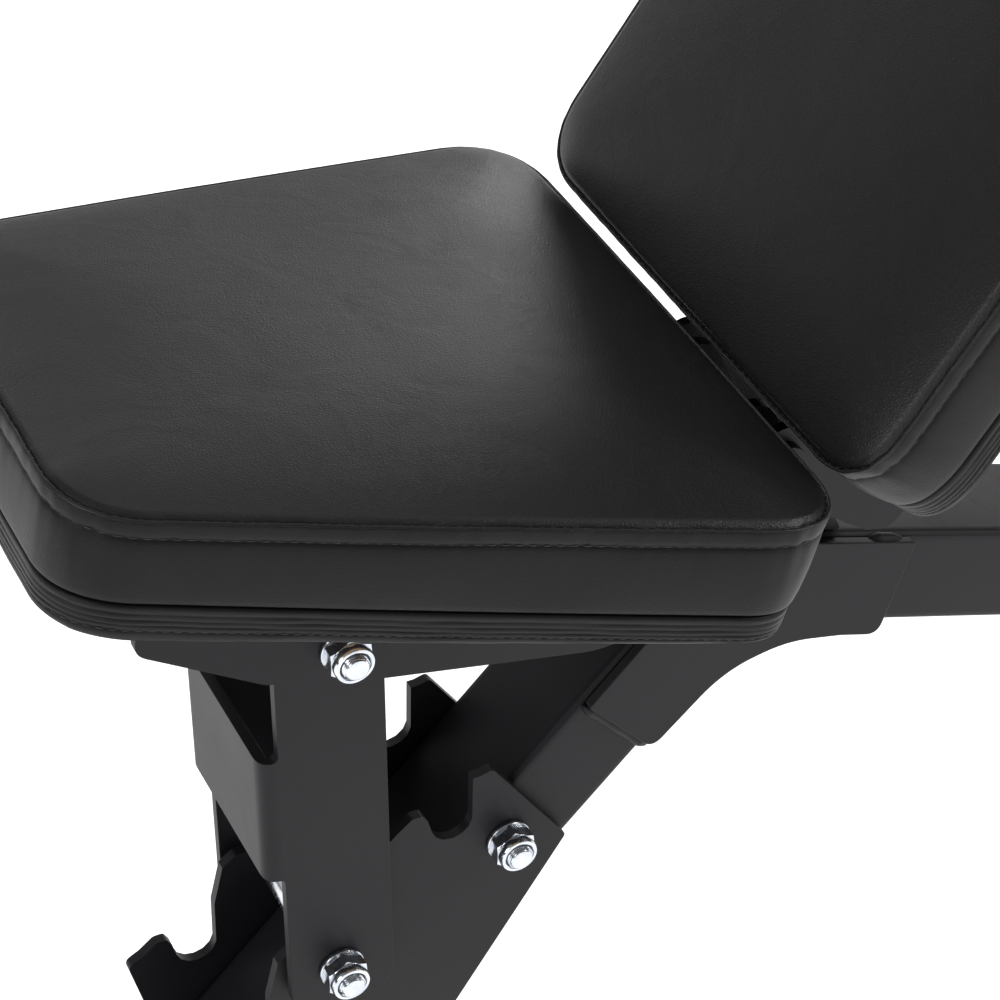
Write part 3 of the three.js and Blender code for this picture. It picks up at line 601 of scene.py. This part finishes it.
def cushion(pad, seed):
    nu, nv = pad.nu, pad.nv
    plan = pad.patch(EDGE_INSET).reshape(-1, 2)
    inside = pad.distance(plan)
    crown = CROWN_FOAM * (1 - np.exp(-inside / CROWN_REACH)) + 0.3
    u, v = plan[:, 0], plan[:, 1]
    settle_in = np.clip(inside / 40, 0, 1)
    uneven = 0.35 * np.sin(u / 47 + seed) * np.sin(v / 39 + seed * 2.3)
    uneven += 0.18 * np.sin(u / 19 + 1.1 * seed) * np.sin(v / 23 + 0.4)
    crown = crown + uneven * settle_in
    top = np.column_stack([plan, pad.top + crown])
    factor = 2 if nu < 200 else 3
    grid = top.reshape(nu + 1, nv + 1, 3)[::factor, ::factor].reshape(-1, 3)
    moved = inflate(pad.world(grid), nu // factor, nv // factor, AIR_PRESSURE,
                    CLOTH_LIMIT)
    back = np.linalg.inv(np.array(pad.matrix)[:3, :3])
    moved = finer(moved @ back.T / MM, nu // factor, nv // factor, factor)
    top = top + moved

    run = pad.run[:-1]
    pucker = ripple(run, seed, [(9.3, 0.10), (15.7, 0.12), (41.0, 0.14)])
    corner = pad.corner
    points, faces = [top], grid_faces(nu, nv)
    last = pad.edge_index()
    start = len(top)
    rows = []
    profile = SEAM_IN + LIP + STRIP + TOPSTITCH + BOXING
    for k, (offset, depth) in enumerate(profile):
        gather = np.zeros(len(run))
        if 0 < depth < 38.5:
            gather = pucker * math.exp(-abs(depth - 4) / 9) * 0.8
            folds = ripple(run, seed + 3, [(7.9, 0.22), (12.7, 0.20)])
            gather = gather + corner * folds * math.exp(-abs(depth - 10) / 12)
            belly = ripple(run, seed + 5, [(163, 0.35), (97, 0.25)])
            gather = gather + belly * math.sin(math.pi * min(depth, 38) / 38)
        rows.append(pad.place(offset + gather, depth + 0.25 * pucker * (depth < 9)))
        ring = list(range(start + k * len(run), start + (k + 1) * len(run)))
        faces += ring_faces(last, ring)
        last = ring
    faces.append(tuple(reversed(last)))
    points = pad.world(np.concatenate([top, *rows]))
    obj = piece(pad.name + "_cushion_cover", points, faces, VINYL_TOP)
    obj.data.materials.append(VINYL_SIDE_PAINTED_SHADE)
    heights = points @ np.array(pad.matrix)[:3, 2]
    edge = float(np.array(pad.matrix.translation) @ np.array(pad.matrix)[:3, 2]) + pad.top * MM
    # Faces below the sewn edge take the side copy, whose darker base colour is painted shade.
    low = np.zeros(len(obj.data.polygons), dtype=np.int32)
    for p in obj.data.polygons:
        if max(heights[i] for i in p.vertices) < edge - 0.6 * MM and p.index >= nu * nv:
            low[p.index] = 1
    obj.data.polygons.foreach_set("material_index", low)
    foam = [n for n in frame["nodes"] if n.startswith(pad.name + "_cushion")]
    return rides(obj, pad.body, foam)


def trim(pad, seed):
    run = pad.run[:-1]
    rows = []
    for offset, depth in TRIM:
        outer = offset > -6 and 41.5 < depth < 56.8
        wave = ripple(run, seed + depth, [(33, 0.05), (71, 0.08)]) if outer else 0 * run
        sag = ripple(run, seed, [(27, 0.06), (88, 0.14)]) if outer else 0 * run
        rows.append(pad.place(offset + wave, depth + sag))
    n = len(run)
    faces = []
    for k in range(len(rows)):
        a = list(range(k * n, (k + 1) * n))
        b = [((k + 1) % len(rows)) * n + i for i in range(n)]
        faces += ring_faces(a, b)
    # The trim takes the darker copy of the vinyl: painted shade.
    obj = piece(pad.name + "_rim_cover", pad.world(np.concatenate(rows)), faces, VINYL_TRIM_PAINTED_SHADE)
    return rides(obj, pad.body, [pad.name + "_rim"])


def strand(start, end, out, radius, sides=6):
    """One stitch: a short strand that dives into the cover at both ends."""
    axis = end - start
    length = np.linalg.norm(axis)
    axis = axis / length
    across = np.cross(axis, out)
    across /= np.linalg.norm(across)
    rings = [(0.0, 0.35, -0.9), (0.12, 0.85, -0.1), (0.32, 1.0, 0.42), (0.5, 1.0, 0.5),
             (0.68, 1.0, 0.42), (0.88, 0.85, -0.1), (1.0, 0.35, -0.9)]
    points = []
    for t, girth, lift in rings:
        centre = start + axis * length * t + out * radius * lift
        for k in range(sides):
            a = 2 * math.pi * k / sides
            points.append(centre + radius * girth * (math.cos(a) * out + math.sin(a) * across))
    return points


def strand_faces(start, sides=6, rings=7):
    faces = [tuple(range(start + sides - 1, start - 1, -1))]
    for r in range(rings - 1):
        for k in range(sides):
            a, b = start + r * sides + k, start + r * sides + (k + 1) % sides
            faces.append((a, b, b + sides, a + sides))
    faces.append(tuple(range(start + (rings - 1) * sides, start + rings * sides)))
    return faces


def stitch_rows(pad, rows, name):
    """rows: (offset, depth, outward share, pitch, length, thread radius)."""
    points, faces = [], []
    total = pad.run[-1]
    for offset, depth, outward, pitch, length, radius in rows:
        line = pad.place(offset, depth)
        closed = np.concatenate([line, line[:1]])
        normals = np.concatenate([pad.normal, pad.normal[:1]])
        count = int(total / pitch)
        mids = (np.arange(count) + 0.5) * total / count
        for mid in mids:
            ends = [np.array([np.interp((mid + s) % total, pad.run, closed[:, k])
                              for k in range(3)]) for s in (-length / 2, length / 2)]
            n2 = np.array([np.interp(mid, pad.run, normals[:, k]) for k in (0, 1)])
            out = np.array([n2[0] * outward, n2[1] * outward, math.sqrt(1 - outward ** 2)])
            slant = np.array([0, 0, 0.16 * radius])
            points += strand(ends[0] - slant, ends[1] + slant, out, radius)
            faces += strand_faces(len(points) - 42)
    obj = piece(name, pad.world(np.array(points)), faces, THREAD)
    return rides(obj, pad.body)


def staples(pad, name):
    """Wire staples that hold the folded cover under the board."""
    points, faces = [], []
    total = pad.run[-1]
    line = pad.place(BOARD_FOLD_OFFSET, BOARD_FOLD_DEPTH)
    closed = np.concatenate([line, line[:1]])
    for k in range(int(total / STAPLE_PITCH)):
        mid = (k + 0.5) * STAPLE_PITCH
        ends = [np.array([np.interp((mid + s) % total, pad.run, closed[:, i])
                          for i in range(3)]) for s in (-5, 5)]
        points += strand(ends[0], ends[1], np.array([0.0, 0.0, -1.0]), 0.45)
        faces += strand_faces(len(points) - 42)
    obj = piece(name, pad.world(np.array(points)), faces, ZINC)
    return rides(obj, pad.body)


# front, rear, front half-width, rear half-width, front and rear corner radius, and how far
# the near, rear, far and front sides bow out
SEAT_OUTLINE = (-151, 153.5, 99.0, 157.0, 30, 27, (0.8, 0.6, 0.8, 0.0))
BACK_OUTLINE = (35.5, 795.5, 139, 139, 25, 30, (0.8, 0.4, 0.8, 0.4))
SEAT_TILT, SEAT_EDGE_HEIGHT = 13.0, 114.5
BACK_TILT, BACK_EDGE_HEIGHT = -53.35, 48.9
seat_pad = Pad("seat", "seat", LEG_PIVOT, SEAT_TILT, SEAT_EDGE_HEIGHT, SEAT_OUTLINE,
               (132, 132), lean=4.3,
               taper=(-2.2, 3.0))
back_pad = Pad("back", "back", HINGE, BACK_TILT, BACK_EDGE_HEIGHT, BACK_OUTLINE, (300, 108),
               flare=5.8)
STITCHES = [(0.18, 8.15, 0.98, 5.4, 3.3, 0.30), (-2.0, 52.05, 0.99, 5.0, 3.2, 0.26),
            (-0.75, 0.85, 0.4, 4.6, 2.4, 0.26)]
for pad, seed in ((seat_pad, 1.0), (back_pad, 2.6)):
    cushion(pad, seed)
    trim(pad, seed)
    stitch_rows(pad, STITCHES, pad.name + "_stitching")
    staples(pad, pad.name + "_staples")

# ---------------------------------------------------------------- bolts and lock nuts
ROUND = 48
WASHER_THICK = 2.0
SEAT_GAP = 0.05                 # between a washer and the nut or head on it
NUT_HEIGHT = 6.55
COLLAR_HEIGHT = 4.25
BOLT_PAST_NUT = 2.3
THREAD_PITCH = 1.5
HEX_APOTHEM = 9.0
HEX_CHAMFER = 0.55


def turned(profile, steps=ROUND, radius_at=None):
    """Points and faces of a shape turned around Y; profile is (radius, y)."""
    points, faces = [], []
    for r, y in profile:
        for k in range(steps):
            a = 2 * math.pi * k / steps
            radius, height = radius_at(r, y, a) if radius_at else (r, y)
            points.append((radius * math.cos(a), height, radius * math.sin(a)))
    n = len(profile)
    for i in range(n):
        for k in range(steps):
            a, b = i * steps + k, i * steps + (k + 1) % steps
            c, d = ((i + 1) % n) * steps + k, ((i + 1) % n) * steps + (k + 1) % steps
            faces.append((a, b, d, c))
    return points, faces


def hex_radius(a, apothem):
    return apothem / math.cos((a + math.pi / 6) % (math.pi / 3) - math.pi / 6)


def fastener(name, node, material, parts, side):
    """Puts turned parts on a CAD fastener's axis, facing outwards on the given side."""
    points, faces = [], []
    for more_points, more_faces in parts:
        base = len(points)
        points += more_points
        faces += [tuple(base + i for i in f) for f in more_faces]
    lo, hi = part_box(node)
    x, z = (lo.x + hi.x) / 2, (lo.z + hi.z) / 2
    placed = [(x + p[0] * MM, side * p[1] * MM, z + p[2] * MM) for p in points]
    obj = sharpen(piece(name, placed, faces, material), 32)
    return obj


def lock_nut(stem, body, face):
    """Zinc washer and nylon-insert nut on the near side, with the bolt's threaded end."""
    node = stem + "_nut"
    washer = turned([(6.3, face), (10.2, face), (10.5, face + 0.3), (10.5, face + 1.7),
                     (10.2, face + WASHER_THICK), (6.3, face + WASHER_THICK)])
    base = face + WASHER_THICK + SEAT_GAP
    top = base + NUT_HEIGHT

    def hexagonal(r, y, a):
        if r < 8:
            return r, y
        corner = hex_radius(a, HEX_APOTHEM)
        cut = max(0.0, corner - 9.35) * HEX_CHAMFER
        if y > top - 0.5:
            return (min(corner, 9.2), y) if r < 9.5 else (corner, top - cut)
        if y < base + 0.5:
            return (min(corner, 9.2), y) if r < 9.5 else (corner, base + cut)
        return corner, y

    hexagon = turned([(6.3, base), (9.2, base), (10.2, base + 0.1), (10.2, top - 0.1),
                      (9.2, top), (6.3, top)], 96, hexagonal)
    collar = turned([(6.5, top - 0.2), (8.75, top - 0.2), (8.95, top + 0.3), (9.0, top + 2.2),
                     (8.9, top + 3.2), (8.5, top + 3.9), (7.8, top + 4.25), (7.1, top + 4.2),
                     (6.75, top + 3.8), (6.7, top + 3.0), (6.5, top + 1.0)])
    nut = fastener(stem + "_nut_detail", node, ZINC, [washer, hexagon, collar], -1)
    rides(nut, body, [node])
    ring = turned([(5.75, top + 1.5), (6.78, top + 1.5), (6.78, top + 3.55), (6.5, top + 3.8),
                   (6.0, top + 3.8), (5.75, top + 3.5)])
    rides(fastener(stem + "_nylon_ring", node, NYLON, [ring], -1), body)


def cross_bolt(stem, body, face):
    """Hexagon-headed bolt with its lock nut: threaded end on the near side, head and washer
    on the far side. `face` is the outer plates' distance from the middle plane."""
    node = stem + "_bolt"
    end = face + WASHER_THICK + SEAT_GAP + NUT_HEIGHT + COLLAR_HEIGHT + BOLT_PAST_NUT
    y = face - 6
    thread = []
    while y < end - 1.6:
        thread += [(5.85, y), (5.95, y + 0.35), (5.35, y + 0.9), (5.4, y + 1.15)]
        y += THREAD_PITCH
    tail = [(5.6, end - 1.2), (4.9, end - 0.15), (4.6, end), (0.05, end)]
    shaft = turned([(0.05, -face - 1), (5.95, -face - 1), (5.95, face - 6.2)] + thread + tail, 40)
    washer = turned([(6.1, -face), (10.2, -face), (10.5, -face - 0.3), (10.5, -face - 1.7),
                     (10.2, -face - 2.0), (6.1, -face - 2.0)])
    low, high = -face - 2.05, -face - 9.2

    def hexagonal(r, y, a):
        if r < 8:
            return r, y
        corner = hex_radius(a, HEX_APOTHEM)
        if y < low - 0.5:
            return (min(corner, 9.0), y) if r < 9.5 else (corner, high + max(0, corner - 9.1)
                                                             * HEX_CHAMFER)
        return corner, y

    head = turned([(0.05, low), (9.2, low), (10.2, low - 0.1), (10.2, high + 0.1), (9.0, high),
                   (0.05, high)], 96, hexagonal)
    parts = [([(p[0], -p[1], p[2]) for p in pts], fcs) for pts, fcs in (washer, head)]
    shaft = ([(p[0], -p[1], p[2]) for p in shaft[0]], shaft[1])
    bolt = fastener(stem + "_bolt_detail", node, ZINC, [shaft, *parts], 1)
    rides(bolt, body, [node])
    lock_nut(stem, body, face)


for stem, body in (("leg_pivot", "seat"), ("leg_pin", "seat_leg"), ("ladder", "frame"),
                   ("hinge", "frame"), ("arm_pivot", "back")):
    nut_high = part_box(stem + "_nut")[1]
    cross_bolt(stem, body, -nut_high.y / MM)

# ---------------------------------------------------------------- frame pieces
ZINC_NODES = [n for n in frame["nodes"] if "screw" in n or "sleeve" in n or "spacer" in n
              or n in ("hinge_tube", "arm_foot_pin") or n.startswith("wheel_axle")]
RUBBER_NODES = [n for n in frame["nodes"] if "foot_cap" in n or n in ("wheel_near", "wheel_far")]
WOOD_NODES = ["seat_board", "back_board"]
STEEL_NODES = ["main_beam", "front_post", "gusset_near", "gusset_far", "seat_ladder_near",
               "seat_ladder_far", "back_ladder_near", "back_ladder_far", "front_foot",
               "rear_foot", "lift_handle", "wheel_fork_near", "wheel_fork_far",
               "hinge_plate_near", "hinge_plate_far", "seat_bracket", "seat_leg", "back_frame",
               "support_arm", "beam_end_plate"]
for node in STEEL_NODES:
    softened(node, COAT, 0.7 if node not in ("main_beam", "front_post") else 0.5)
for node in RUBBER_NODES:
    softened(node, RUBBER, 1.2 if "cap" in node else 0.8)
for node in ZINC_NODES:
    softened(node, ZINC, 0.35)
for node in WOOD_NODES:
    softened(node, PLYWOOD, 0.5)

# ---------------------------------------------------------------- weld beads
BEAD_SIDES = 10


def weld(name, path, across, out, width, height):
    """A coated weld bead along a short path of (x, z) points from the leg pivot, on both
    sides of the spine: `across` is the distance from the middle plane, `out` how far it
    rises from the tube's side face."""
    steps = np.array(path, float)
    length = np.concatenate([[0], np.cumsum(np.linalg.norm(np.diff(steps, axis=0), axis=1))])
    at = np.arange(0, length[-1], 0.55)
    line = np.stack([np.interp(at, length, steps[:, k]) for k in (0, 1)], 1)
    tangent = np.gradient(line, axis=0)
    tangent /= np.linalg.norm(tangent, axis=1)[:, None]
    ends = np.clip(np.minimum(at, at[-1] - at) / (2.0 * width), 0.05, 1) ** 0.5
    scale = ends * (1 + 0.03 * np.abs(np.sin(math.pi * at / 2.3)) + 0.05 * np.sin(at / 3.1))
    for label, side in (("near", -1), ("far", 1)):
        points, faces = [], []
        for (x, z), (tx, tz), girth in zip(line, tangent, scale):
            for k in range(BEAD_SIDES):
                a = 2 * math.pi * k / BEAD_SIDES
                flat, rise = width * girth * math.cos(a), height * girth * math.sin(a)
                points.append(LEG_PIVOT + Vector((x - tz * flat, side * (across + out * rise),
                                                  z + tx * flat)) * MM)
        for i in range(len(line) - 1):
            a = list(range(i * BEAD_SIDES, (i + 1) * BEAD_SIDES))
            faces += ring_faces(a, [v + BEAD_SIDES for v in a])
        faces.append(tuple(range(BEAD_SIDES)))
        faces.append(tuple(range(len(points) - BEAD_SIDES, len(points))))
        bead = piece(name + "_" + label, points, faces, COAT)
        rides(bead, "frame")


weld("gusset_front_weld", [(120.5, -95.5), (153, -132)], 31.4, 1, 2.6, 2.3)
weld("gusset_rear_weld", [(261, -51.2), (282, -58.3)], 31.2, 1, 3.6, 3.4)
weld("gusset_low_weld", [(266, -105), (249, -99.5), (232, -96.5)], 31.2, 1, 2.4, 2.2)
weld("ladder_low_weld", [(6, -271), (-18, -295)], 31.2, 1, 2.4, 2.2)

# ---------------------------------------------------------------- floor and light
floor_mesh = bpy.data.meshes.new("floor")
FLOOR_HALF = 9.0
floor_corners = [(x * FLOOR_HALF, y * FLOOR_HALF, 0)
                 for x, y in ((-1, -1), (1, -1), (1, 1), (-1, 1))]
floor_mesh.from_pydata(floor_corners, [], [(0, 1, 2, 3)])
floor = bpy.data.objects.new("floor", floor_mesh)
floor.location.z = CAD_BOX[0][2] - 0.0005
floor_mesh.materials.append(FLOOR)
scene.collection.objects.link(floor)


def soft_light(name, place, aim, size, power, colour=(1, 1, 1)):
    data = bpy.data.lights.new(name, "AREA")
    data.shape = "RECTANGLE"
    data.size, data.size_y = size
    data.energy = power
    data.color = colour
    obj = bpy.data.objects.new(name, data)
    obj.location = place
    direction = Vector(aim) - Vector(place)
    obj.rotation_euler = direction.to_track_quat("-Z", "Y").to_euler()
    scene.collection.objects.link(obj)
    return obj


middle = Vector((-0.3, 0, 0.4))
soft_light("overhead", (0.1, 0.1, 2.7), middle, (2.0, 1.6), 9)
soft_light("far_side", (-0.70, 2.6, 1.75), middle, (1.5, 1.3), 6.5)
soft_light("far_wide", (-0.25, 2.7, 1.8), middle, (3.0, 1.7), 9)
soft_light("far_low", (1.6, 2.0, 1.15), (0.3, 0, 0.35), (1.3, 0.4), 12)
soft_light("front_strip", (-2.35, -0.4, 1.28), middle, (0.6, 0.9), 10.5)
soft_light("front_corner", (-1.9, -1.7, 1.27), middle, (0.6, 0.8), 4)
soft_light("near_rear", (1.5, -1.05, 1.6), (-0.1, 0, 0.45), (0.7, 0.6), 14)
soft_light("near_fill", (-0.8, -2.6, 1.2), middle, (2.4, 1.6), 0.8)
soft_light("far_left", (-1.9, 1.8, 0.8), middle, (1.2, 0.8), 1.3)

world = bpy.data.worlds.new("studio")
world.use_nodes = True
scene.world = world
tree = world.node_tree
sky = tree.nodes["Background"]
coords = tree.nodes.new("ShaderNodeTexCoord")
split = tree.nodes.new("ShaderNodeSeparateXYZ")
tree.links.new(coords.outputs["Generated"], split.inputs[0])
ramp = tree.nodes.new("ShaderNodeValToRGB")
ramp.color_ramp.elements[0].position = 0.0
ramp.color_ramp.elements[0].color = (0.16, 0.16, 0.165, 1)
ramp.color_ramp.elements[1].position = 0.75
ramp.color_ramp.elements[1].color = (0.85, 0.86, 0.88, 1)
tree.links.new(split.outputs["Z"], ramp.inputs["Fac"])
tree.links.new(ramp.outputs["Color"], sky.inputs["Color"])
sky.inputs["Strength"].default_value = 0.22
scene.view_settings.view_transform = "Standard"
